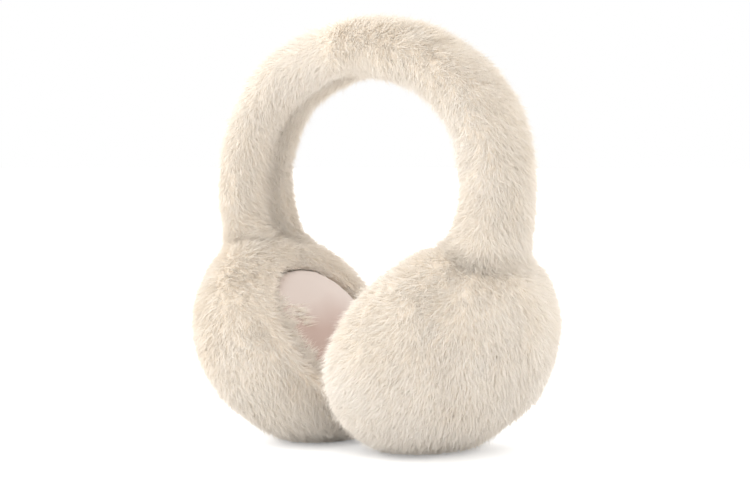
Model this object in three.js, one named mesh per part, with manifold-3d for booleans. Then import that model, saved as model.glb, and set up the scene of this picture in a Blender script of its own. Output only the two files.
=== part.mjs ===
// Fur earmuffs: a padded fur headband bent to a C, a fur ear cup on each end, and a velour ear pad in each cup.
// Millimetres, +Z up, X from ear to ear, -Y the front. The earmuffs stand on their two flattened feet at Z = 0,
// and the origin is the middle of the footprint of the whole object.
import * as THREE from "three";
import { mergeVertices } from "three/addons/utils/BufferGeometryUtils.js";
import Module from "manifold-3d";

// Headband: its middle line is three arcs on each side, from the middle of the crown down to the cup.
const crownRadius = 91.8;
const crownAngle = 27.5;
const shoulderRadius = 59.8;
const shoulderAngle = 63;
const armRadius = 95.3;
const armAngle = 27;
const bandWidth = 41;
const crownThickness = 27.5;
const armThickness = 24;
const bandRoundness = 2.2;
const seamDepth = 3.4;
const seamSpread = 26;

// Ear cups: a bun of fur, flatter towards the head, with an opening for the pad.
const cupHeight = 109;
const cupLength = 121;
const cupOuterDepth = 40.5;
const cupInnerDepth = 25;
const cupRoundness = 2.15;
const cupDrop = 35.8;
const cupSetIn = 2.7;
const cupLean = 5;
const cupTurn = 6;
const rimRoll = 9;
const footFlattening = 1.7;

// Ear pads: a round cushion, its edge sunk into the cup's opening and its face crowned.
const padDiameter = 67;
const padThickness = 14;
const padCrown = 4.5;
const padEdgeRound = 3;
const padSink = 15.5;
const padDrop = 3;

// Locks of fur, which lie along the surface with their tips standing a little off it.
const lockLength = 27;
const lockWidth = 17;
const lockRise = 2.1;
const tipRise = 1.5;
const lockSink = 2.4;
const lockJitter = 0.22;
const bandSplay = 24;
const clearance = 0.35;
const lockClearance = 1.4;

// How finely the backings are faceted.
const bandSteps = 32;
const bandSides = 12;
const cupSteps = 8;
const cupSides = 26;
const rimSteps = 3;
const padSteps = 5;

const { cos, sin, abs, sign, PI, min, max, hypot, round, asin } = Math;
const radians = THREE.MathUtils.degToRad;
const lerp = THREE.MathUtils.lerp;

const wasm = await Module();
wasm.setup();

// Joining and cutting

function solidFrom(geometry) {
  const bare = new THREE.BufferGeometry();
  bare.setAttribute("position", geometry.getAttribute("position"));
  bare.setIndex(geometry.index);
  const merged = mergeVertices(bare, 1e-4);
  const vertProperties = merged.getAttribute("position").array;
  const triVerts = new Uint32Array(merged.index.array);
  return new wasm.Manifold(new wasm.Mesh({ numProp: 3, vertProperties, triVerts }));
}

function geometryFrom(solid) {
  const mesh = solid.getMesh();
  const geometry = new THREE.BufferGeometry();
  geometry.setAttribute("position", new THREE.BufferAttribute(mesh.vertProperties, 3));
  geometry.setIndex(new THREE.BufferAttribute(mesh.triVerts, 1));
  geometry.computeVertexNormals();
  return geometry;
}

function bendGeometry(geometry, place) {
  const position = geometry.getAttribute("position");
  const point = new THREE.Vector3();
  for (let i = 0; i < position.count; i++) {
    point.fromBufferAttribute(position, i);
    position.setXYZ(i, ...place(point).toArray());
  }
  return geometry;
}

// The same sequence of numbers from 0 to 1 each time, so that every build gives the same locks.
function numberSequence(seed) {
  let state = seed;
  return () => {
    state = (state * 16807) % 2147483647;
    return state / 2147483647;
  };
}

// Headband surface

const bandArcs = [
  { radius: crownRadius, angle: radians(crownAngle) },
  { radius: shoulderRadius, angle: radians(shoulderAngle) },
  { radius: armRadius, angle: radians(armAngle) },
];
const armEnd = bandArcs.reduce((length, arc) => length + arc.radius * arc.angle, 0);

// A point on the middle line at a distance from the crown; slope is how far the line has turned down from level.
function bandLine(distance) {
  const at = { x: 0, z: 0, slope: 0, radius: crownRadius };
  let left = abs(distance);
  for (const [i, arc] of bandArcs.entries()) {
    const isLast = i === bandArcs.length - 1;
    const turn = isLast ? left / arc.radius : min(left / arc.radius, arc.angle);
    at.x += arc.radius * (sin(at.slope + turn) - sin(at.slope));
    at.z += arc.radius * (cos(at.slope + turn) - cos(at.slope));
    at.slope += turn;
    at.radius = arc.radius;
    left -= turn * arc.radius;
    if (left <= 1e-9) break;
  }
  const side = distance < 0 ? -1 : 1;
  return { ...at, x: side * at.x, slope: side * at.slope };
}

const rounded = (value, roundness) => sign(value) * abs(value) ** (2 / roundness);

// Half sizes and outline of the headband's section; around is 0 on the outside, and a half turn on the seam.
function bandSection(distance, around) {
  const share = min(1, abs(distance) / armEnd);
  const halfThick = lerp(crownThickness, armThickness, share) / 2;
  const halfWide = bandWidth / 2;
  const out = rounded(cos(around), bandRoundness);
  const side = rounded(sin(around), bandRoundness);
  const normal = new THREE.Vector2(
    (sign(out) * abs(out) ** (bandRoundness - 1)) / halfThick,
    (sign(side) * abs(side) ** (bandRoundness - 1)) / halfWide,
  ).normalize();
  const fromSeam = abs(PI - (((around % (2 * PI)) + 2 * PI) % (2 * PI)));
  const seam = seamDepth * max(0, 1 - fromSeam / radians(seamSpread));
  return { out: halfThick * out + seam, side: halfWide * side, normal, halfThick, halfWide };
}

function bandPoint(distance, around, height) {
  const line = bandLine(distance);
  const section = bandSection(distance, around);
  const out = section.out + height * section.normal.x;
  const side = section.side + height * section.normal.y;
  return new THREE.Vector3(line.x + out * sin(line.slope), side, line.z + out * cos(line.slope));
}

// Lays a step along and across the fur's nap, which runs down the arms and round towards the seam.
function bandSurface({ distance, around }, along, across, height) {
  const { halfThick, halfWide, out } = bandSection(distance, around);
  const half = distance < 0 ? -1 : 1;
  const splay = radians(bandSplay) * (sin(around) < 0 ? -1 : 1);
  const run = half * along * cos(splay) - across * sin(splay);
  const turn = along * sin(splay) + half * across * cos(splay);
  const stretch = 1 + out / bandLine(distance).radius;
  const girth = hypot(halfThick * sin(around), halfWide * cos(around));
  return bandPoint(distance + run / stretch, around + turn / girth, height);
}

// Ear cup surface, in the cup's own frame: X points away from the head and Z up the cup's face.

const cupRadius = cupHeight / 2;
const cupStretch = cupLength / cupHeight;

// from is 0 at the middle of the outer face and a half turn at the middle of the inner face.
function cupPoint(from, around, height) {
  const depth = cos(from) > 0 ? cupOuterDepth : cupInnerDepth;
  const axial = rounded(cos(from), cupRoundness);
  const radial = rounded(sin(from), cupRoundness);
  const normal = new THREE.Vector2(
    (sign(axial) * abs(axial) ** (cupRoundness - 1)) / depth,
    (sign(radial) * abs(radial) ** (cupRoundness - 1)) / cupRadius,
  ).normalize();
  const reach = cupRadius * radial + height * normal.y;
  return new THREE.Vector3(
    depth * axial + height * normal.x,
    reach * cos(around) * cupStretch,
    reach * sin(around),
  );
}

function cupSurface({ from, around }, along, across, height) {
  const depth = cos(from) > 0 ? cupOuterDepth : cupInnerDepth;
  const bend = hypot(cupRadius * cos(from), depth * sin(from));
  const reach = cupRadius * rounded(sin(from), cupRoundness);
  return lowered(cupPoint(from + along / bend, around + across / reach, height));
}

// The opening sits a little low in the cup's inner face. The shift fades out over the roll round it.
function lowered(point) {
  if (point.x >= 0) return point;
  const reach = hypot(point.y / cupStretch, point.z);
  const share = max(0, min(1, (cupRadius - reach) / (cupRadius - crestRadius)));
  return point.setZ(point.z - padDrop * share);
}

// Locks

// One lock: an octahedron whose six corners become the root, tip, two flanks, ridge and belly.
function lockSolid(surface, seat, size) {
  const geometry = bendGeometry(new THREE.OctahedronGeometry(1), (corner) => {
    const along = (corner.x * lockLength * size) / 2;
    const across = (corner.y * lockWidth * size) / 2;
    const ridge = corner.z > 0 ? corner.z * (lockRise + lockSink) : corner.z * lockSink;
    const tip = corner.x > 0 ? corner.x * (tipRise + lockSink) : 0;
    return surface(seat, along, across, ridge + tip - lockSink);
  });
  return solidFrom(geometry);
}

function lockPoints(surface, seat, size) {
  const reach = (size * lockLength) / 2;
  const half = (size * lockWidth) / 2;
  return [
    surface(seat, reach, 0, tipRise),
    surface(seat, 0, 0, lockRise),
    surface(seat, -reach, 0, 0),
    surface(seat, 0, half, 0),
    surface(seat, 0, -half, 0),
  ];
}

// Seats in rows along the headband, offset by half a step in every other row.
function bandSeats(random) {
  const seats = [];
  const { halfThick, halfWide } = bandSection(armEnd / 2, 0);
  const girth = PI * (halfThick + halfWide);
  const rows = round(armEnd / (lockLength * 0.56));
  const perRow = 2 * round(girth / (lockWidth * 1.08) / 2);
  for (let row = 0; row < rows; row++) {
    for (let i = 0; i < perRow; i++) {
      const stagger = row % 2 ? 0.5 : 0;
      const shift = lockJitter * (random() - 0.5);
      seats.push({
        distance: ((row + 0.5 + shift) / rows) * armEnd,
        around: ((i + 0.25 + stagger / 2 + shift) / perRow) * 2 * PI,
        size: 1 + lockJitter * (random() - 0.5) * 2,
      });
    }
  }
  return seats;
}

// Seats in rings round the cup, from its outer pole to the rim of the opening.
function cupSeats(random, rimFrom) {
  const seats = [];
  const rings = round((cupRadius * rimFrom) / (lockLength * 0.62));
  for (let ring = 0; ring < rings; ring++) {
    const from = ((ring + 0.6) / rings) * (rimFrom - radians(14));
    const girth = 2 * PI * cupRadius * rounded(sin(from), cupRoundness);
    const count = max(3, round(girth / (lockWidth * 1.25)));
    for (let i = 0; i < count; i++) {
      const shift = lockJitter * (random() - 0.5);
      seats.push({
        from: from + (shift * lockLength) / cupRadius,
        around: ((i + (ring % 2) / 2 + shift) / count) * 2 * PI,
        size: 1 + lockJitter * (random() - 0.5) * 2,
      });
    }
  }
  return seats;
}

// Headband and cup backings

function bandBacking() {
  const tube = new THREE.CylinderGeometry(1, 1, 1, bandSides, bandSteps);
  return bendGeometry(tube, ({ x, y, z }) => {
    const distance = y * 2 * armEnd;
    if (hypot(x, z) < 0.5) {
      const line = bandLine(distance);
      return new THREE.Vector3(line.x, 0, line.z);
    }
    return bandPoint(distance, Math.atan2(z, x), 0);
  });
}

const openingRadius = padDiameter / 2 + clearance;
const crestRadius = openingRadius + rimRoll;
const crestFrom = PI - asin((crestRadius / cupRadius) ** (cupRoundness / 2));
const recessFloor = -padSink + padThickness + clearance;

// Revolves a profile of (radius, axial) points round the cup's own X axis and stretches it front to back.
function revolve(profile) {
  const lathe = new THREE.LatheGeometry(profile, cupSides);
  lathe.rotateZ(-PI / 2);
  lathe.scale(1, cupStretch, 1);
  return lathe;
}

function cupProfile() {
  const profile = [];
  for (let i = 0; i <= cupSteps; i++) {
    const point = cupPoint((i / cupSteps) * crestFrom, PI / 2, 0);
    profile.push(new THREE.Vector2(i ? point.z : 0, point.x));
  }
  const crest = profile[cupSteps];
  const lip = new THREE.QuadraticBezierCurve(
    crest,
    new THREE.Vector2(openingRadius, crest.y),
    new THREE.Vector2(openingRadius, -padSink),
  );
  profile.push(...lip.getPoints(rimSteps).slice(1));
  profile.push(new THREE.Vector2(openingRadius, recessFloor));
  profile.push(new THREE.Vector2(0, recessFloor));
  return profile.reverse();
}

function padProfile() {
  const radius = padDiameter / 2;
  const flat = radius - padEdgeRound;
  const profile = [new THREE.Vector2(0, -padSink + padThickness)];
  profile.push(new THREE.Vector2(flat, -padSink + padThickness));
  profile.push(new THREE.Vector2(radius, -padSink + padThickness - padEdgeRound));
  profile.push(new THREE.Vector2(radius, -padSink + padEdgeRound / 2));
  for (let i = padSteps; i >= 0; i--) {
    const share = i / padSteps;
    profile.push(new THREE.Vector2(flat * share, -padSink - padCrown * (1 - share ** 2)));
  }
  return profile.reverse();
}

// The closed bun without its opening, grown by a margin, for cutting the headband's ends to their seats.
function cupEnvelope(margin) {
  const profile = [];
  for (let i = 0; i <= cupSteps * 2; i++) {
    const point = cupPoint((i / (cupSteps * 2)) * PI, PI / 2, margin);
    profile.push(new THREE.Vector2(i && i < cupSteps * 2 ? point.z : 0, point.x));
  }
  return bendGeometry(revolve(profile.reverse()), lowered);
}

// How the right cup hangs on the arm's end: in line with it, leaned in and turned a little to the front.
const armTip = bandLine(armEnd);
const tilt = armTip.slope - PI / 2 + radians(cupLean);
const rightCup = new THREE.Group();
rightCup.position.set(
  armTip.x - cupDrop * sin(tilt) - cupSetIn * cos(tilt),
  0,
  armTip.z - cupDrop * cos(tilt) + cupSetIn * sin(tilt),
);
rightCup.rotation.set(0, tilt, -radians(cupTurn), "YZX");
rightCup.updateMatrix();
const leftCup = new THREE.Group();
leftCup.scale.x = -1;

const bunGeometry = bendGeometry(revolve(cupProfile()), lowered);
const bunInPlace = bunGeometry.clone().applyMatrix4(rightCup.matrix);
bunInPlace.computeBoundingBox();
const floorLevel = bunInPlace.boundingBox.min.z + footFlattening;

// Tests that keep a lock off its neighbour's seat

function isInCup(point, margin) {
  const local = point.clone().applyMatrix4(rightCup.matrix.clone().invert());
  const depth = (local.x > 0 ? cupOuterDepth : cupInnerDepth) + margin;
  const reach = hypot(local.y / cupStretch, local.z) / (cupRadius + margin);
  return reach ** cupRoundness + (abs(local.x) / depth) ** cupRoundness < 1;
}

function isInBand(point, margin) {
  for (let distance = armEnd / 2; distance <= armEnd; distance += 2) {
    const line = bandLine(distance);
    const along = (point.x - line.x) * cos(line.slope) - (point.z - line.z) * sin(line.slope);
    if (abs(along) > 2) continue;
    const { halfThick, halfWide } = bandSection(distance, 0);
    const out = hypot(point.x - line.x, point.z - line.z) / (halfThick + margin);
    const side = abs(point.y) / (halfWide + margin);
    if (out ** bandRoundness + side ** bandRoundness < 1) return true;
  }
  return false;
}

// Fur headband: the backing and its locks, with each end cut to the cup that it is sewn to.
function makeHeadband() {
  const random = numberSequence(11);
  const parts = [solidFrom(bandBacking())];
  for (const seat of bandSeats(random)) {
    const root = bandSurface(seat, 0, 0, 0);
    if (isInCup(root, clearance)) continue;
    parts.push(lockSolid(bandSurface, seat, seat.size));
    const mirrored = { distance: -seat.distance, around: seat.around };
    parts.push(lockSolid(bandSurface, mirrored, seat.size));
  }
  const seatCutter = cupEnvelope(clearance * 1.5);
  const rightCutter = seatCutter.clone().applyMatrix4(rightCup.matrix);
  const leftCutter = rightCutter.clone().scale(-1, 1, 1);
  leftCutter.setIndex([...leftCutter.index.array].reverse());
  return wasm.Manifold.union(parts).subtract(solidFrom(rightCutter)).subtract(solidFrom(leftCutter));
}

// Fur ear cup in its own frame, with its foot flattened on the floor.
function makeCup() {
  const margin = lockRise + lockClearance;
  const random = numberSequence(5);
  const parts = [solidFrom(bunGeometry)];
  for (const seat of cupSeats(random, crestFrom)) {
    const points = lockPoints(cupSurface, seat, seat.size);
    const placed = points.map((point) => point.clone().applyMatrix4(rightCup.matrix));
    const isClear = placed.every((point) => !isInBand(point, margin) && point.x > lockClearance);
    if (isClear) parts.push(lockSolid(cupSurface, seat, seat.size));
  }
  const floorSize = 4 * cupLength;
  const floor = new THREE.BoxGeometry(floorSize, floorSize, floorSize);
  floor.translate(0, 0, floorLevel - floorSize / 2);
  floor.applyMatrix4(rightCup.matrix.clone().invert());
  return wasm.Manifold.union(parts).subtract(solidFrom(floor));
}

// The earmuffs as a scene

const furCream = new THREE.MeshStandardMaterial({ color: 0xe6d9c9, roughness: 1, metalness: 0 });
const velourPink = new THREE.MeshStandardMaterial({ color: 0xdfc6bb, roughness: 0.95, metalness: 0 });

function namedMesh(name, geometry, material) {
  const mesh = new THREE.Mesh(geometry, material);
  mesh.name = name;
  return mesh;
}

const cupGeometry = geometryFrom(makeCup());
const padGeometry = geometryFrom(solidFrom(revolve(padProfile()).translate(0, 0, -padDrop)));
rightCup.add(namedMesh("ear_cup_fur_right", cupGeometry, furCream));
rightCup.add(namedMesh("ear_pad_right", padGeometry, velourPink));

const leftCupPlace = new THREE.Group();
leftCupPlace.position.copy(rightCup.position);
leftCupPlace.rotation.copy(rightCup.rotation);
leftCupPlace.add(namedMesh("ear_cup_fur_left", cupGeometry, furCream));
leftCupPlace.add(namedMesh("ear_pad_left", padGeometry, velourPink));
leftCup.add(leftCupPlace);

const earmuffs = new THREE.Group();
earmuffs.add(namedMesh("headband_fur", geometryFrom(makeHeadband()), furCream));
earmuffs.add(rightCup, leftCup);

const extent = new THREE.Box3().setFromObject(earmuffs, true);
earmuffs.position.set(0, -(extent.min.y + extent.max.y) / 2, -floorLevel);

export default earmuffs;
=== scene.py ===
# Plush earmuffs standing on their two cups: padded fur headband, fur ear cups, velour ear pads.
from math import asin, cos, pi, radians, sin

import bmesh
import bpy
import numpy as np
from mathutils import Matrix, Vector
from mathutils.bvhtree import BVHTree


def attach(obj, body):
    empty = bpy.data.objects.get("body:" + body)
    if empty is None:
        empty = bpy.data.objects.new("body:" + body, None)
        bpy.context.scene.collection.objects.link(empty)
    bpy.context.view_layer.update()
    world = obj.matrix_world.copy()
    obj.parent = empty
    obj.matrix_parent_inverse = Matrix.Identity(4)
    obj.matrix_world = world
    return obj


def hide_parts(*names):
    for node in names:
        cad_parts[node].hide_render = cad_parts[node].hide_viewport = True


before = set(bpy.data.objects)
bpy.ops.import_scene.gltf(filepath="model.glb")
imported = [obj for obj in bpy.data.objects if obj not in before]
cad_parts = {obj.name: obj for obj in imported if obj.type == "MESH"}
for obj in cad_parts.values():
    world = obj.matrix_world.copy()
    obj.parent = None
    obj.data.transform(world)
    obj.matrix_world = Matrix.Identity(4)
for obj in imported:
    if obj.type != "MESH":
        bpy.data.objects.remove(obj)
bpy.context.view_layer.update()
mm = 0.001
furMap = "OFBake"
seeds = {"bandShape": 3, "cupShape": 20, "bandFur": 100, "cupFur": 300}
print("frame loaded")

# Camera and light

camera = {
    "azimuth": 41,
    "elevation": 2.2,
    "distance": 950,
    "pixelsPerMm": 2.14,  # at the aim point
    "aimAcross": 2.0,
    "aimHeight": 96.4,
    "imageWidth": 750,
    "sensorWidth": 36,
}

studio = {
    "background": 1.0,  # as the camera sees it
    "skyLight": 1.34,  # as it lights the object
    "keyLight": 0.4,  # its share of full exposure on a surface that faces it
    "keySize": 900,
    "keyAt": (-800, -700, 650),
    "keyAim": (0, 0, 90),
    "floorSize": 60000,
    "floorWhite": 0.95,  # this and the glow as the camera sees them
    "floorGlow": 0.34,
    "floorBounce": 0.97,  # its white as it lights the object
}


def makePiece(bm, name):
    mesh = bpy.data.meshes.new(name)
    bm.to_mesh(mesh)
    bm.free()
    mesh.polygons.foreach_set("use_smooth", [True] * len(mesh.polygons))
    piece = bpy.data.objects.new(name, mesh)
    bpy.context.scene.collection.objects.link(piece)
    return piece


def finishPiece(piece, material):
    piece.data.materials.append(material)
    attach(piece, "root")


def makeCamera():
    turn = radians(camera["azimuth"])
    rise = radians(camera["elevation"])
    back = Vector((sin(turn) * cos(rise), -cos(turn) * cos(rise), sin(rise)))
    across = Vector((cos(turn), sin(turn), 0))
    aim = across * camera["aimAcross"] + Vector((0, 0, camera["aimHeight"]))
    lensData = bpy.data.cameras.new("camera")
    lensData.sensor_width = camera["sensorWidth"]
    imageAtAim = camera["imageWidth"] / camera["pixelsPerMm"]  # its width in millimetres
    lensData.lens = camera["distance"] * camera["sensorWidth"] / imageAtAim
    lensData.clip_end = 100
    eye = bpy.data.objects.new("camera", lensData)
    eye.location = (aim + back * camera["distance"]) * mm
    eye.rotation_euler = back.to_track_quat("Z", "Y").to_euler()
    bpy.context.scene.collection.objects.link(eye)
    bpy.context.scene.camera = eye


def makeLight(name, strength, size, place, aim):
    data = bpy.data.lights.new(name, "AREA")
    data.shape = "DISK"
    data.size = size * mm
    data.energy = strength * (Vector(place).length * mm * pi) ** 2
    lamp = bpy.data.objects.new(name, data)
    lamp.location = Vector(place) * mm
    lamp.rotation_euler = (Vector(place) - Vector(aim)).to_track_quat("Z", "Y").to_euler()
    bpy.context.scene.collection.objects.link(lamp)


def makeStudio():
    world = bpy.data.worlds.new("studio")
    bpy.context.scene.world = world
    world.use_nodes = True
    nodes, links = world.node_tree.nodes, world.node_tree.links
    sky = nodes["Background"]
    seen = nodes.new("ShaderNodeLightPath")
    strength = nodes.new("ShaderNodeMix")
    sky.inputs["Color"].default_value = (1, 1, 1, 1)
    strength.inputs["A"].default_value = studio["skyLight"]
    strength.inputs["B"].default_value = studio["background"]
    links.new(seen.outputs["Is Camera Ray"], strength.inputs["Factor"])
    links.new(strength.outputs["Result"], sky.inputs["Strength"])
    makeLight("key", studio["keyLight"], studio["keySize"], studio["keyAt"], studio["keyAim"])
    bm = bmesh.new()
    bmesh.ops.create_grid(bm, x_segments=1, y_segments=1, size=studio["floorSize"] / 2 * mm)
    floor = makePiece(bm, "floor")
    white = bpy.data.materials.new("white table")
    white.use_nodes = True
    shader = white.node_tree.nodes["Principled BSDF"]
    shader.inputs["Roughness"].default_value = 0.9
    shader.inputs["Specular IOR Level"].default_value = 0
    shader.inputs["Emission Color"].default_value = (1, 1, 1, 1)
    nodes, links = white.node_tree.nodes, white.node_tree.links
    seen = nodes.new("ShaderNodeLightPath")
    shown, glow = nodes.new("ShaderNodeMix"), nodes.new("ShaderNodeMix")
    shown.data_type = "RGBA"
    shown.inputs["A"].default_value = (*[studio["floorBounce"]] * 3, 1)
    shown.inputs["B"].default_value = (*[studio["floorWhite"]] * 3, 1)
    glow.inputs["A"].default_value = 0
    glow.inputs["B"].default_value = studio["floorGlow"]
    links.new(seen.outputs["Is Camera Ray"], shown.inputs["Factor"])
    links.new(seen.outputs["Is Camera Ray"], glow.inputs["Factor"])
    links.new(shown.outputs["Result"], shader.inputs["Base Color"])
    links.new(glow.outputs["Result"], shader.inputs["Emission Strength"])
    floor.data.materials.append(white)
    bpy.context.scene.view_settings.view_transform = "Standard"


# Shapes, in millimetres and degrees. A mesh is made in millimetres and brought to metres at its end.

band = {
    "crownHeight": 185.816,
    "bends": [(91.8, 27.5), (59.8, 63), (95.3, 27)],  # radius and angle, from the crown down
    "width": 41,
    "crownThickness": 27.5,
    "armThickness": 24,
    "roundness": 2.2,
    "seamDepth": 5.5,
    "seamSpread": 26,
    "flare": 0.22,  # how much wider the band opens into the cup
    "innerFlare": 0.1,  # and how much more on the side of the head
    "flareFrom": 38,  # both measured back from the end of the arm
    "flareTo": 12,
    "underFur": 1.3,  # how far the padded body lies inside the fur's outline
    "sides": 64,
    "rows": 150,
    "capRows": 5,
    "seatSearch": (0.6, 1.1),  # where along the arm the cup's surface is looked for
    "seatSteps": 24,
    "smoothing": 0.4,
    "unevenness": 0.7,
    "unevenWave": 34,
    "parting": -12,  # where on the crown the fur parts
    "partingSpread": 5,  # hairs from both sides cross over it
    "partingSeed": 7,
    "seamPull": 0.5,  # how far the fur turns in towards the seam
    "sewnIn": 1.4,  # no fur grows on what is deeper in the cup than this
}

cup = {
    "height": 109,
    "length": 121,
    "outerDepth": 40.5,
    "innerDepth": 25,
    "roundness": 2.15,
    "drop": 35.8,
    "setIn": 2.7,
    "lean": 5,
    "turn": 6,
    "forward": 0.195,
    "rimRoll": 9,
    "rollSteps": 8,
    "underFur": 1.8,
    "rimUnderFur": 1.1,
    "sides": 128,
    "steps": 34,
    "footClear": 1.0,
    "footKept": 12,  # below this height the body isn't loosened up or down
    "armFlow": 30,  # how far the arm's fur runs on straight down over the cup
    "fanOut": 0.7,  # past there the fur fans out from the arm's end
    "lipFlow": 7,  # how far round the opening the fur turns in over the pad
    "lipTurn": 0.8,
    "lipClear": 0.5,  # no fur grows closer to the opening's edge
    "armCover": 0.4,  # nor well inside the arm's section, down to armSunk under its end
    "armSunk": 20,
    "unevenness": 0.8,
    "unevenWave": 38,
}

pad = {
    "diameter": 67,
    "thickness": 14,
    "crown": 4.5,
    "sink": 15.5,
    "drop": 3,  # of the opening and its pad in the cup's face
    "edgeRound": 3,
    "edgeSteps": 6,
    "faceSteps": 8,
    "gap": 0.35,
    "sides": 72,
    "voxel": 2.4,
    "pressure": 4,
    "clothSteps": 20,
    "mostSwell": 1.4,
    "smoothing": 4,
}


def bendCentres():
    bends, slope = [], 0
    middle = Vector((0, 0, band["crownHeight"]))
    for radius, angle in band["bends"]:
        centre = middle - Vector((sin(slope), 0, cos(slope))) * radius
        bends.append((centre, radius, slope, slope + radians(angle)))
        slope += radians(angle)
        middle = centre + Vector((sin(slope), 0, cos(slope))) * radius
    return bends, middle, slope


bends, armTip, armSlope = bendCentres()
armLength = sum(radius * (high - low) for centre, radius, low, high in bends)

# The right cup's own frame: X points away from the head, Z up the face of the cup.
cupTilt = armSlope - pi / 2 + radians(cup["lean"])
cupMiddle = armTip + Vector((
    -cup["drop"] * sin(cupTilt) - cup["setIn"] * cos(cupTilt),
    cup["forward"],
    -cup["drop"] * cos(cupTilt) + cup["setIn"] * sin(cupTilt),
))
cupPlace = (
    Matrix.Translation(cupMiddle)
    @ Matrix.Rotation(cupTilt, 4, "Y")
    @ Matrix.Rotation(-radians(cup["turn"]), 4, "Z")
)
cupReturn = cupPlace.inverted()
cupStretch = cup["length"] / cup["height"]


def rounded(value, roundness):
    share = abs(value) ** (2 / roundness)
    return share if value >= 0 else -share


def toMetres(bm):
    bmesh.ops.scale(bm, vec=(mm, mm, mm), verts=bm.verts)
    bmesh.ops.recalc_face_normals(bm, faces=bm.faces)


def vertexArrays(mesh):
    points = np.empty(len(mesh.vertices) * 3, np.float32)
    normals = np.empty(len(mesh.vertices) * 3, np.float32)
    mesh.vertices.foreach_get("co", points)
    mesh.vertex_normals.foreach_get("vector", normals)
    return points.reshape(-1, 3).astype(float), normals.reshape(-1, 3).astype(float)


waves = {
    "count": 14,
    "lengths": (0.7, 1.6),  # shares of the wavelength asked for
    "level": 3.2,  # brings their sum to about -1 to 1
}


def uneven(points, seed, wavelength):
    # A slow wave through space that takes the machine-made look off a soft surface.
    rng = np.random.default_rng(seed)
    total = np.zeros(len(points))
    for _ in range(waves["count"]):
        turn = rng.normal(size=3)
        turn *= 2 * pi / (wavelength * rng.uniform(*waves["lengths"]) * np.linalg.norm(turn))
        total += np.sin(points @ turn + rng.uniform(0, 2 * pi))
    return total / waves["level"]


def loosen(piece, amount, seed, wavelength):
    points, normals = vertexArrays(piece.data)
    moved = points + normals * (uneven(points, seed, wavelength * mm) * amount * mm)[:, None]
    moved[:, 2] = np.where(points[:, 2] > cup["footKept"] * mm, moved[:, 2], points[:, 2])
    piece.data.vertices.foreach_set("co", moved.astype(np.float32).ravel())
    piece.data.update()


# Headband body: a sheet rolled to a tube, its long edge closed in the seam, each end sewn to a cup.

def alongBand(distance):
    left, half = abs(distance), 1 if distance >= 0 else -1
    for centre, radius, low, high in bends:
        slope = low + left / radius
        if slope <= high or high == armSlope:
            break
        left -= radius * (high - low)
    out = Vector((half * sin(slope), 0, cos(slope)))
    return Vector((half * centre.x, 0, centre.z)) + out * radius, out


def bandPoint(distance, around, scale=1):
    middle, out = alongBand(distance)
    share = min(1, abs(distance) / armLength)
    thickness = band["crownThickness"] * (1 - share) + band["armThickness"] * share
    pastFlare = abs(distance) - armLength + band["flareFrom"]
    opened = max(0, min(1, pastFlare / (band["flareFrom"] - band["flareTo"]))) ** 3
    scale *= 1 + band["flare"] * opened
    fromSeam = pi - abs(around)
    groove = max(0, 1 - fromSeam / radians(band["seamSpread"])) * band["seamDepth"]
    rise = (thickness / 2 - band["underFur"]) * rounded(cos(around), band["roundness"]) + groove
    if rise < 0:
        rise *= 1 + band["innerFlare"] * opened
    side = (band["width"] / 2 - band["underFur"]) * rounded(sin(around), band["roundness"])
    return middle + out * rise * scale + Vector((0, side * scale, 0))


def insideCup(point, margin):
    local = cupReturn @ Vector((abs(point.x), point.y, point.z))
    depth = (cup["outerDepth"] if local.x > 0 else cup["innerDepth"]) + margin
    reach = Vector((local.y / cupStretch, local.z)).length / (cup["height"] / 2 + margin)
    return reach ** cup["roundness"] + (abs(local.x) / depth) ** cup["roundness"] < 1


def seatDistance(around, scale):
    near, far = (armLength * share for share in band["seatSearch"])
    for _ in range(band["seatSteps"]):
        middle = (near + far) / 2
        if insideCup(bandPoint(middle, around, scale), pad["gap"] - cup["underFur"]):
            far = middle
        else:
            near = middle
    return near


def makeBandBody():
    bm = bmesh.new()
    bmesh.ops.create_grid(bm, x_segments=band["rows"], y_segments=band["sides"], size=1)
    capShare = 2 * band["capRows"] / band["rows"]
    ends = {}
    for vert in bm.verts:
        across, around = vert.co.x, vert.co.y * pi
        inCap = max(0, abs(across) - (1 - capShare)) / capShare
        key = (round(around, 4), round(inCap, 4))
        if key not in ends:
            ends[key] = seatDistance(around, 1 - inCap)
        distance = ends[key] * min(1, abs(across) / (1 - capShare))
        vert.co = bandPoint(distance if across > 0 else -distance, around, 1 - inCap)
    bmesh.ops.remove_doubles(bm, verts=bm.verts, dist=0.02)
    bmesh.ops.smooth_vert(
        bm, verts=bm.verts, factor=band["smoothing"], use_axis_x=True, use_axis_y=True, use_axis_z=True
    )
    toMetres(bm)
    return makePiece(bm, "headband_body")


# Cup bodies: a profile spun about the cup's axis, then pressed flat where it stands.

def cupProfile():
    opening = pad["diameter"] / 2 + pad["gap"]
    crest = opening + cup["rimRoll"]
    radius = cup["height"] / 2
    last = pi - asin((crest / radius) ** (cup["roundness"] / 2))
    places = []
    for step in range(cup["steps"] + 1):
        turn = last * step / cup["steps"]
        depth = cup["outerDepth"] if cos(turn) > 0 else cup["innerDepth"]
        inside = cup["underFur"] + (cup["rimUnderFur"] - cup["underFur"]) * (step / cup["steps"]) ** 4
        axial = (depth - inside) * rounded(cos(turn), cup["roundness"])
        radial = (radius - inside) * rounded(sin(turn), cup["roundness"])
        places.append((axial, radial))
    crestAxial, crestRadial = places[-1]
    for step in range(1, cup["rollSteps"] + 1):
        turn = step / cup["rollSteps"]
        places.append((
            crestAxial + (-pad["sink"] - crestAxial) * turn ** 2,
            crestRadial + (opening - crestRadial) * (1 - (1 - turn) ** 2),
        ))
    floor = -pad["sink"] + pad["thickness"] + pad["gap"]
    places += [(-pad["sink"] / 2, opening), (floor, opening)]
    places += [(floor, opening * share) for share in (0.75, 0.5, 0.25, 0)]
    return places


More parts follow.
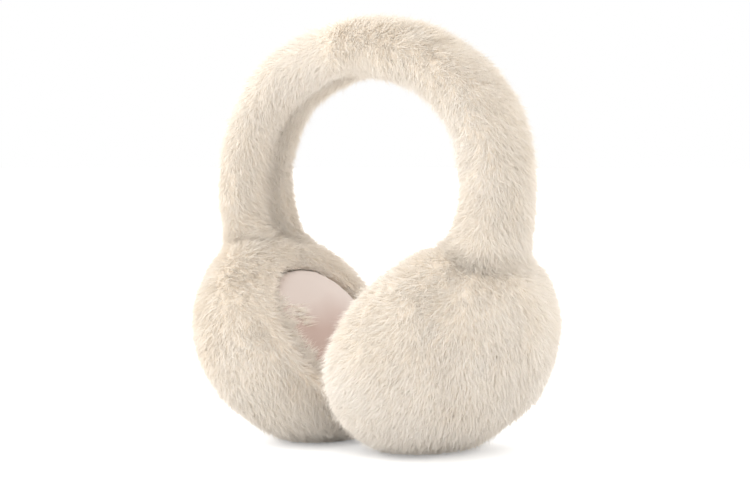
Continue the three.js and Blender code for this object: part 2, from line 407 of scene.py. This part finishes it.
def lowered(point):
    # The opening sits a little low in the inner face, and the shift fades out over the roll round it.
    if point.x >= 0:
        return point
    crest = pad["diameter"] / 2 + pad["gap"] + cup["rimRoll"]
    reach = Vector((point.y / cupStretch, point.z)).length
    share = (cup["height"] / 2 - reach) / (cup["height"] / 2 - crest)
    return point - Vector((0, 0, pad["drop"] * max(0, min(1, share))))


def spinProfile(bm, places, sides):
    verts = [bm.verts.new((axial, 0, radial)) for axial, radial in places]
    edges = [bm.edges.new(pair) for pair in zip(verts, verts[1:])]
    bmesh.ops.spin(
        bm, geom=verts + edges, cent=(0, 0, 0), axis=(1, 0, 0), dvec=(0, 0, 0),
        angle=2 * pi, steps=sides, use_merge=True,
    )
    bmesh.ops.remove_doubles(bm, verts=bm.verts, dist=0.01)
    # A full spin leaves its faces in an order that changes from run to run.
    bm.verts.index_update()
    count = len(bm.verts)
    bm.faces.sort(key=lambda face: face.verts[0].index * count + face.verts[1].index)
    bmesh.ops.scale(bm, vec=(1, cupStretch, 1), verts=bm.verts)
    for vert in bm.verts:
        vert.co = lowered(vert.co)


def placeInCup(bm, side):
    bmesh.ops.transform(bm, matrix=cupPlace, verts=bm.verts)
    bmesh.ops.scale(bm, vec=(side, 1, 1), verts=bm.verts)


def makeCupBody(name, side):
    bm = bmesh.new()
    spinProfile(bm, cupProfile(), cup["sides"])
    placeInCup(bm, side)
    for vert in bm.verts:
        vert.co.z = max(cup["footClear"], vert.co.z)
    toMetres(bm)
    return makePiece(bm, name)


# Ear pads: cushions that cloth under pressure rounds out, capped so that they stay in their recess.

def padProfile():
    radius, back = pad["diameter"] / 2, -pad["sink"] + pad["thickness"]
    flat, half = radius - pad["edgeRound"], pad["thickness"] / 2
    places = [(back, 0), (back, radius * 0.5), (back, flat)]
    for step in range(1, pad["edgeSteps"]):
        turn = step / pad["edgeSteps"] * pi
        places.append((back - half + half * cos(turn), flat + pad["edgeRound"] * sin(turn)))
    for step in range(pad["faceSteps"] + 1):
        share = 1 - step / pad["faceSteps"]
        places.append((-pad["sink"] - pad["crown"] * (1 - share ** 2), flat * share))
    return places


def keepModifiers(piece):
    graph = bpy.context.evaluated_depsgraph_get()
    made = bpy.data.meshes.new_from_object(piece.evaluated_get(graph))
    piece.modifiers.clear()
    old, piece.data = piece.data, made
    bpy.data.meshes.remove(old)
    piece.data.polygons.foreach_set("use_smooth", [True] * len(piece.data.polygons))


def inflate(piece):
    before, _ = vertexArrays(piece.data)
    cloth = piece.modifiers.new("cloth", "CLOTH")
    cloth.settings.use_pressure = True
    cloth.settings.uniform_pressure_force = pad["pressure"]
    cloth.settings.effector_weights.gravity = 0
    cloth.point_cache.frame_start = 1
    cloth.point_cache.frame_end = pad["clothSteps"]
    for step in range(1, pad["clothSteps"] + 1):
        bpy.context.scene.frame_set(step)
    graph = bpy.context.evaluated_depsgraph_get()
    swollen = bpy.data.meshes.new_from_object(piece.evaluated_get(graph))
    after, _ = vertexArrays(swollen)
    bpy.data.meshes.remove(swollen)
    piece.modifiers.remove(cloth)
    bpy.context.scene.frame_set(1)
    move = after - before
    far = np.maximum(np.linalg.norm(move, axis=1), 1e-9)
    move *= np.minimum(1, pad["mostSwell"] * mm / far)[:, None]
    piece.data.vertices.foreach_set("co", (before + move).astype(np.float32).ravel())
    piece.data.update()


def makePad(name, side):
    bm = bmesh.new()
    spinProfile(bm, padProfile(), pad["sides"])
    inset = 1 - 2 * pad["mostSwell"] / pad["diameter"]
    bmesh.ops.scale(bm, vec=(1, inset, inset), verts=bm.verts)
    placeInCup(bm, side)
    toMetres(bm)
    piece = makePiece(bm, name)
    remesh = piece.modifiers.new("even mesh", "REMESH")
    remesh.mode = "VOXEL"
    remesh.voxel_size = pad["voxel"] * mm
    keepModifiers(piece)
    inflate(piece)
    piece.modifiers.new("smooth", "SMOOTH").iterations = pad["smoothing"]
    finer = piece.modifiers.new("finer", "SUBSURF")
    finer.levels = finer.render_levels = 1
    keepModifiers(piece)
    return piece


# Fur: strands grow in clumps, follow the surface, and gather towards each clump's tip.

ground = {
    "voxel": 1.8,
    "smoothing": 14,  # rounds the joins of the bodies
}

bandFur = {
    "strands": 30000,
    "perClump": 4,
    "length": 5.5,
    "rise": 3.0,  # of the tips over the padded body
    "footWidth": 0.46,
    "clumpRadius": 1.6,
    "gather": 0.4,
    "tipStray": 0.9,
    "stray": 20,  # degrees off the lay, in slow waves and from clump to clump
    "strayWave": 15,
    "loose": 0.25,  # the share of fine hairs that stand out of the pile
    "looseRise": 0.8,
}

cupFur = {
    "strands": 38000,
    "perClump": 4,
    "length": 5.3,
    "lipLength": 3,  # at the top edge of the opening
    "lowLipLength": 9,  # at its lower edge
    "lipHeights": (-0.4, 0.5),  # where one turns to the other, as shares of the opening's radius
    "lipReach": 12,
    "rise": 3.4,
    "footWidth": 0.46,
    "clumpRadius": 1.6,
    "gather": 0.4,
    "tipStray": 0.9,
    "stray": 20,
    "strayWave": 18,
    "loose": 0.25,
    "looseRise": 0.8,
}

# What all strands share. The pairs are ranges, as shares of what the fur above asks for.
strand = {
    "clumpLengths": (0.75, 1.15),
    "lengths": (0.75, 1.1),
    "rises": (0.7, 1.05),
    "looseRises": (0.3, 1),
    "widths": (0.75, 1.1),
    "looseWidth": 0.6,
    "fullRise": 0.75,  # clumps shorter than this share of the length rise less
    "footDepth": 0.6,
    "floorClear": 0.15,
    "waveShare": 0.6,
}

tones = {
    "columns": 32,  # steps of tone in the fur's map
    "rows": 16,  # steps of tint
    "patch": 22,  # size of the patches of one tone
    "byPatch": 0.14,  # how much the tone changes from one patch, clump or strand to the next
    "byClump": 0.16,
    "byStrand": 0.1,
    "tintPatch": 45,
    "tintByPatch": 0.25,
    "tintByStrand": 0.12,
}


def unit(vectors):
    return vectors / np.maximum(np.linalg.norm(vectors, axis=1), 1e-12)[:, None]


def dot(a, b):
    return np.sum(a * b, axis=1)


def alongSurface(vectors, normals):
    return unit(vectors - normals * dot(vectors, normals)[:, None])


def bandDirections(points):
    # The way down the arm, and the way out of the bend, at each point.
    half = np.where(points[:, 0] < 0, -1.0, 1.0)
    slope = np.full(len(points), armSlope)
    for centre, radius, low, high in reversed(bends):
        here = np.arctan2(half * points[:, 0] - centre.x * mm, points[:, 2] - centre.z * mm)
        slope = np.where(here < high, np.clip(here, low, high), slope)
    zero = np.zeros(len(points))
    down = np.stack([half * np.cos(slope), zero, -np.sin(slope)], 1)
    out = np.stack([half * np.sin(slope), zero, np.cos(slope)], 1)
    return down, out


def bandLay(points, normals):
    # Down both arms from a parting on the crown, and in towards the seam.
    down, out = bandDirections(points)
    mixed = np.random.default_rng(band["partingSeed"]).normal(size=len(points)) * band["partingSpread"]
    side = np.sign(points[:, 0] / mm - band["parting"] + mixed)
    parting = side * np.where(points[:, 0] < 0, -1, 1)
    facingOut = dot(normals, out)
    inward = -out * band["seamPull"]
    inward[:, 1] -= np.sign(points[:, 1]) * np.clip(-facingOut, 0, 1) * band["seamPull"]
    return alongSurface(down * parting[:, None] + inward, normals)


def lipPlaces(points):
    # Millimetres from the edge of a cup's opening, measured along the radius of the cup, the height
    # over the opening's middle as a share of its radius, and the way in to that middle.
    mirrored = np.c_[np.abs(points[:, 0]), points[:, 1:]] / mm
    local = (mirrored - np.array(cupMiddle)) @ np.array(cupPlace.to_3x3())
    local[:, 2] += pad["drop"]
    radius = pad["diameter"] / 2
    reach = np.hypot(local[:, 1] / cupStretch, local[:, 2]) - radius
    inward = -local @ np.array(cupPlace.to_3x3()).T
    inward[:, 0] *= np.sign(points[:, 0])
    return np.where(local[:, 0] < 0, np.maximum(reach, 0), 100), local[:, 2] / radius, inward


def cupLay(side):
    # Down from the arm's end over the whole cup, and in over the pad round the opening.
    tip = np.array([side * armTip.x, armTip.y, armTip.z]) * mm
    down = np.array([-side * sin(cupTilt), 0, -cos(cupTilt)])

    def lay(points, normals):
        fromLip, _, inward = lipPlaces(points)
        away = (points - tip) / (cup["height"] / 2 * mm)
        away -= normals * dot(away, normals)[:, None]
        nearArm = np.exp(-(np.linalg.norm(points - tip, axis=1) / (cup["armFlow"] * mm)) ** 2)[:, None]
        turned = np.exp(-(fromLip / cup["lipFlow"]) ** 2)[:, None]
        flow = alongSurface(away * cup["fanOut"] * (1 - nearArm) + down, normals)
        flow = flow * (1 - cup["lipTurn"] * turned) + alongSurface(inward, normals) * turned
        return alongSurface(flow, normals)
    return lay


def smoothGround(pieces):
    # One skin over all the bodies, rounded where they meet. The fur stands on it, and then it goes.
    bm = bmesh.new()
    for piece in pieces:
        bm.from_mesh(piece.data)
    skin = makePiece(bm, "skin")
    remesh = skin.modifiers.new("one skin", "REMESH")
    remesh.mode = "VOXEL"
    remesh.voxel_size = ground["voxel"] * mm
    skin.modifiers.new("rounded", "SMOOTH").iterations = ground["smoothing"]
    keepModifiers(skin)
    bm = bmesh.new()
    bm.from_mesh(skin.data)
    tree = BVHTree.FromBMesh(bm)
    bm.free()
    mesh = skin.data
    bpy.data.objects.remove(skin)
    bpy.data.meshes.remove(mesh)
    return tree


def nearestOn(tree, points):
    places, normals = np.empty_like(points), np.empty_like(points)
    for i, point in enumerate(points):
        places[i], normals[i], _, _ = tree.find_nearest(point)
    return places, normals


def samplePoints(piece, keep, count, rng):
    mesh = piece.data
    mesh.calc_loop_triangles()
    points, _ = vertexArrays(mesh)
    corners = np.empty(len(mesh.loop_triangles) * 3, np.int32)
    mesh.loop_triangles.foreach_get("vertices", corners)
    corners = corners.reshape(-1, 3)
    a, b, c = (points[corners[:, i]] for i in range(3))
    area = np.linalg.norm(np.cross(b - a, c - a), axis=1) * keep((a + b + c) / 3)
    pick = np.searchsorted(np.cumsum(area) / area.sum(), (np.arange(count) + rng.random(count)) / count)
    pick = np.minimum(pick, len(area) - 1)
    u, v = rng.random(count), rng.random(count)
    fold = u + v > 1
    u, v = np.where(fold, 1 - u, u), np.where(fold, 1 - v, v)
    weights = np.stack([1 - u - v, u, v], 1)[:, :, None]
    return (points[corners[pick]] * weights).sum(1)


def growFur(name, piece, keep, layOf, fur, material, seed):
    rng = np.random.default_rng(seed)
    clumps = fur["strands"] // fur["perClump"]
    count = clumps * fur["perClump"]
    root, normal = nearestOn(furGround, samplePoints(piece, keep, clumps, rng))
    lay = layOf(root, normal)
    wander = strand["waveShare"] * uneven(root, seed + 1, fur["strayWave"] * mm)
    wander = radians(fur["stray"]) * (wander + rng.normal(size=clumps))[:, None]
    lay = alongSurface(lay * np.cos(wander) + np.cross(normal, lay) * np.sin(wander), normal)
    size = fur["length"] * mm * rng.uniform(*strand["clumpLengths"], clumps)
    if "lipLength" in fur:
        fromLip, height, _ = lipPlaces(root)
        atLip = np.interp(height, fur["lipHeights"], (fur["lowLipLength"], fur["lipLength"]))
        atLip /= fur["length"]
        size *= atLip + (1 - atLip) * np.minimum(1, fromLip / fur["lipReach"])
    ahead, aheadNormal = nearestOn(furGround, root + lay * size[:, None])

    def perStrand(values):
        return np.repeat(values, fur["perClump"], axis=0)

    # Each strand is a slim three-sided spike with its own place in the clump. Its tip leans in towards
    # the clump's tip.
    spread = np.sqrt(rng.random(count)) * fur["clumpRadius"] * mm
    turn = rng.uniform(0, 2 * pi, count)
    outward, onward = perStrand(normal), perStrand(lay)
    offset = onward * (np.cos(turn) * spread)[:, None]
    offset += np.cross(outward, onward) * (np.sin(turn) * spread)[:, None]
    loose = rng.random(count) < fur["loose"]
    tall = rng.uniform(*strand["rises"], count)
    tall += loose * rng.uniform(*strand["looseRises"], count) * fur["looseRise"]
    tall *= perStrand(np.minimum(1, size / (strand["fullRise"] * fur["length"] * mm))) * fur["rise"] * mm
    foot = perStrand(root) + offset - outward * strand["footDepth"] * mm
    tip = perStrand(ahead) + offset * (1 - fur["gather"]) + perStrand(aheadNormal) * tall[:, None]
    tip += rng.normal(size=(count, 3)) * fur["tipStray"] * mm
    tip = foot + (tip - foot) * rng.uniform(*strand["lengths"], count)[:, None]
    along = unit(tip - foot)
    across = unit(np.cross(along, outward))
    upward = np.cross(across, along)
    width = fur["footWidth"] * mm * rng.uniform(*strand["widths"], count)
    width *= np.where(loose, strand["looseWidth"], 1)
    twist = rng.uniform(0, 2 * pi, count)
    verts = []
    for corner in range(3):
        around = twist + corner * 2 * pi / 3
        away = across * np.cos(around)[:, None] + upward * np.sin(around)[:, None]
        verts.append(foot + away * (width / 3 ** 0.5)[:, None])
    verts = np.stack([*verts, tip], 1).reshape(-1, 3)
    verts[:, 2] = np.maximum(verts[:, 2], strand["floorClear"] * mm)
    faces = np.array([[1, 0, 3], [2, 1, 3], [0, 2, 3]])
    faces = (faces[None] + 4 * np.arange(count)[:, None, None]).reshape(-1, 3)

    # The map's column is the strand's tone and its row the tint.
    patches = uneven(root, seed + 2, tones["patch"] * mm) * tones["byPatch"]
    tone = perStrand(patches + rng.normal(size=clumps) * tones["byClump"])
    tone = np.clip(tone + rng.normal(size=count) * tones["byStrand"] + 0.5, 0, 0.999)
    tint = perStrand(uneven(root, seed + 3, tones["tintPatch"] * mm)) * tones["tintByPatch"]
    tint = np.clip(tint + rng.normal(size=count) * tones["tintByStrand"] + 0.5, 0, 0.999)
    cell = np.stack([np.floor(tone * tones["columns"]), np.floor(tint * tones["rows"])], 1)
    corner = np.array([[0.35, 0.05], [0.65, 0.05], [0.5, 0.05], [0.5, 0.95]])
    mapped = (corner[None] + cell[:, None]) / np.array([tones["columns"], tones["rows"]])

    mesh = bpy.data.meshes.new(name)
    mesh.from_pydata(verts.tolist(), [], faces.tolist())
    layer = mesh.uv_layers.new(name=furMap)
    layer.data.foreach_set("uv", mapped.reshape(-1, 2)[faces.ravel()].astype(np.float32).ravel())
    strands = bpy.data.objects.new(name, mesh)
    bpy.context.scene.collection.objects.link(strands)
    finishPiece(strands, material)


# Materials

furColours = {
    "shade": (0.91, 0.835, 0.735),
    "middle": (0.93, 0.862, 0.772),
    "light": (0.955, 0.90, 0.825),
    "root": (0.935, 0.86, 0.76),
    "grey": (0.90, 0.86, 0.81),
    "greyShare": 0.4,
    # The padded body shows between the strands. Its cream is the fur's own, darkened a little as painted
    # shade of the deep pile.
    "body": (0.90, 0.815, 0.71),
    "bodyDark": (0.87, 0.78, 0.67),
}

velourColours = {
    "pink": (0.69, 0.595, 0.54),
    # the darker pink that the painted shade gives the pad's lower part
    "shadedPink": (0.575, 0.44, 0.385),
    "shadeFullBelow": 0.05,  # painted shade: the pink darkens towards the bottom, and the shade lifts between these heights in metres
    "shadeGoneAbove": 0.074,
    "shadeShare": 0.65,
}


def makePileGroup():
    group = bpy.data.node_groups.new("pile", "ShaderNodeTree")
    group.interface.new_socket("Scale", in_out="INPUT", socket_type="NodeSocketFloat")
    group.interface.new_socket("Mottle", in_out="OUTPUT", socket_type="NodeSocketFloat")
    group.interface.new_socket("Height", in_out="OUTPUT", socket_type="NodeSocketFloat")
    nodes, links = group.nodes, group.links
    start, end = nodes.new("NodeGroupInput"), nodes.new("NodeGroupOutput")
    place = nodes.new("ShaderNodeTexCoord")
    fine, broad = nodes.new("ShaderNodeTexNoise"), nodes.new("ShaderNodeTexNoise")
    broad.inputs["Scale"].default_value = 45
    fine.inputs["Detail"].default_value = 3
    links.new(place.outputs["Object"], fine.inputs["Vector"])
    links.new(place.outputs["Object"], broad.inputs["Vector"])
    links.new(start.outputs["Scale"], fine.inputs["Scale"])
    links.new(broad.outputs["Fac"], end.inputs["Mottle"])
    links.new(fine.outputs["Fac"], end.inputs["Height"])
    return group


def pileMaterial(name, low, high, scale, bump, sheen, heightShade=None):
    material = bpy.data.materials.new(name)
    material.use_nodes = True
    nodes, links = material.node_tree.nodes, material.node_tree.links
    shader = nodes["Principled BSDF"]
    shader.inputs["Roughness"].default_value = 0.9
    shader.inputs["Specular IOR Level"].default_value = 0.15
    shader.inputs["Sheen Weight"].default_value = sheen
    shader.inputs["Sheen Roughness"].default_value = 0.45
    shader.inputs["Sheen Tint"].default_value = (1, 0.94, 0.9, 1)
    pile = nodes.new("ShaderNodeGroup")
    pile.node_tree = pileGroup
    pile.inputs["Scale"].default_value = scale
    ramp = nodes.new("ShaderNodeValToRGB")
    ramp.color_ramp.elements[0].position = 0.3
    ramp.color_ramp.elements[0].color = (*low, 1)
    ramp.color_ramp.elements[1].position = 0.7
    ramp.color_ramp.elements[1].color = (*high, 1)
    bumpNode = nodes.new("ShaderNodeBump")
    bumpNode.inputs["Strength"].default_value = bump
    bumpNode.inputs["Distance"].default_value = 0.4 * mm
    # Painted shade by height: low on the piece the colour is held at the darker end, and higher up it
    # lifts to the lighter end.
    if heightShade:
        place, split = nodes.new("ShaderNodeTexCoord"), nodes.new("ShaderNodeSeparateXYZ")
        shadeLift, total = nodes.new("ShaderNodeMapRange"), nodes.new("ShaderNodeMath")
        shadeLift.inputs["From Min"].default_value = heightShade["shadeFullBelow"]
        shadeLift.inputs["From Max"].default_value = heightShade["shadeGoneAbove"]
        shadeLift.inputs["To Max"].default_value = heightShade["shadeShare"]
        total.operation = "MULTIPLY_ADD"
        total.inputs[1].default_value = 1 - heightShade["shadeShare"]
        links.new(place.outputs["Object"], split.inputs["Vector"])
        links.new(split.outputs["Z"], shadeLift.inputs["Value"])
        links.new(pile.outputs["Mottle"], total.inputs[0])
        links.new(shadeLift.outputs["Result"], total.inputs[2])
        links.new(total.outputs["Value"], ramp.inputs["Fac"])
    else:
        links.new(pile.outputs["Mottle"], ramp.inputs["Fac"])
    links.new(ramp.outputs["Color"], shader.inputs["Base Color"])
    links.new(pile.outputs["Height"], bumpNode.inputs["Height"])
    links.new(bumpNode.outputs["Normal"], shader.inputs["Normal"])
    return material


def strandMaterial():
    # Across the map runs the tone and up it the tint, and within a row the strand runs from root to tip.
    material = bpy.data.materials.new("plush fur")
    material.use_nodes = True
    nodes, links = material.node_tree.nodes, material.node_tree.links
    shader = nodes["Principled BSDF"]
    shader.inputs["Roughness"].default_value = 0.75
    shader.inputs["Specular IOR Level"].default_value = 0.2
    shader.inputs["Sheen Weight"].default_value = 0.4
    shader.inputs["Sheen Roughness"].default_value = 0.4
    shader.inputs["Sheen Tint"].default_value = (1, 0.95, 0.88, 1)
    mapNode = nodes.new("ShaderNodeUVMap")
    mapNode.uv_map = furMap
    split = nodes.new("ShaderNodeSeparateXYZ")
    tone = nodes.new("ShaderNodeValToRGB")
    tone.color_ramp.elements[0].position = 0.05
    tone.color_ramp.elements[0].color = (*furColours["shade"], 1)
    tone.color_ramp.elements[1].position = 0.95
    tone.color_ramp.elements[1].color = (*furColours["light"], 1)
    tone.color_ramp.elements.new(0.5).color = (*furColours["middle"], 1)
    rowCount, upStrand, greyness = (nodes.new("ShaderNodeMath") for _ in range(3))
    rowCount.operation = greyness.operation = "MULTIPLY"
    rowCount.inputs[1].default_value = tones["rows"]
    upStrand.operation = "FRACT"
    greyness.inputs[1].default_value = furColours["greyShare"]
    fromRoot = nodes.new("ShaderNodeValToRGB")
    fromRoot.color_ramp.elements[0].position = 0.05
    fromRoot.color_ramp.elements[1].position = 0.6
    tinted, rooted = nodes.new("ShaderNodeMix"), nodes.new("ShaderNodeMix")
    tinted.data_type = rooted.data_type = "RGBA"
    tinted.inputs["B"].default_value = (*furColours["grey"], 1)
    rooted.inputs["A"].default_value = (*furColours["root"], 1)
    links.new(mapNode.outputs["UV"], split.inputs["Vector"])
    links.new(split.outputs["X"], tone.inputs["Fac"])
    links.new(split.outputs["Y"], greyness.inputs[0])
    links.new(split.outputs["Y"], rowCount.inputs[0])
    links.new(rowCount.outputs["Value"], upStrand.inputs[0])
    links.new(upStrand.outputs["Value"], fromRoot.inputs["Fac"])
    links.new(greyness.outputs["Value"], tinted.inputs["Factor"])
    links.new(tone.outputs["Color"], tinted.inputs["A"])
    links.new(fromRoot.outputs["Color"], rooted.inputs["Factor"])
    links.new(tinted.outputs["Result"], rooted.inputs["B"])
    links.new(rooted.outputs["Result"], shader.inputs["Base Color"])
    return material


makeCamera()
makeStudio()
pileGroup = makePileGroup()
underFurMaterial = pileMaterial(
    "under fur", furColours["bodyDark"], furColours["body"], scale=700, bump=0.6, sheen=0.2
)
# The velour carries painted shade, darker towards the bottom of the pad.
velourMaterial = pileMaterial(
    "pink velour", velourColours["shadedPink"], velourColours["pink"], scale=900, bump=0.25, sheen=0.5,
    heightShade=velourColours,
)
furMaterial = strandMaterial()
print("studio and materials made")

bandBody = makeBandBody()
loosen(bandBody, band["unevenness"], seeds["bandShape"], band["unevenWave"])
cupBodies = {"right": makeCupBody("ear_cup_body_right", 1), "left": makeCupBody("ear_cup_body_left", -1)}
pads = {"right": makePad("ear_pad_velour_right", 1), "left": makePad("ear_pad_velour_left", -1)}
for seed, (side, body) in enumerate(cupBodies.items(), seeds["cupShape"]):
    loosen(body, cup["unevenness"], seed, cup["unevenWave"])
    finishPiece(body, underFurMaterial)
    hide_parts("ear_cup_fur_" + side)
    finishPiece(pads[side], velourMaterial)
    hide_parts("ear_pad_" + side)
finishPiece(bandBody, underFurMaterial)
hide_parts("headband_fur")
print("padded bodies made")

furGround = smoothGround([bandBody, *cupBodies.values(), *pads.values()])
print("ground for the fur made")


def bandQuarter(hand, half):
    def keep(points):
        sewn = [insideCup(Vector(point) / mm, -band["sewnIn"] - cup["underFur"]) for point in points]
        return (points[:, 0] * hand > 0) & (points[:, 1] * half > 0) & ~np.array(sewn)
    return keep


def cupHalf(half):
    def keep(points):
        mirrored = np.c_[np.abs(points[:, 0]), points[:, 1:]]
        inRecess = lipPlaces(points)[0] < cup["lipClear"]
        centre, radius, _, _ = bends[-1]
        fromBend = np.hypot(mirrored[:, 0] - centre.x * mm, mirrored[:, 2] - centre.z * mm)
        rise = (fromBend - radius * mm) / (band["armThickness"] / 2 * mm)
        across = mirrored[:, 1] / (band["width"] / 2 * mm)
        reach = np.abs(rise) ** band["roundness"] + np.abs(across) ** band["roundness"]
        covered = (reach < cup["armCover"]) & (mirrored[:, 2] > (armTip.z - cup["armSunk"]) * mm)
        return (points[:, 1] * half > 0) & ~inRecess & ~covered
    return keep


for hand, side in ((1, "right"), (-1, "left")):
    for half, word in ((-1, "front"), (1, "back")):
        growFur(
            f"headband_fur_{side}_{word}", bandBody, bandQuarter(hand, half), bandLay, bandFur,
            furMaterial, seeds["bandFur"] + 20 * hand + half,
        )
print("headband fur grown")
for hand, side in ((1, "right"), (-1, "left")):
    for half, word in ((-1, "front"), (1, "back")):
        growFur(
            f"ear_cup_fur_{side}_{word}", cupBodies[side], cupHalf(half), cupLay(hand), cupFur,
            furMaterial, seeds["cupFur"] + 20 * hand + half,
        )
print("cup fur grown")
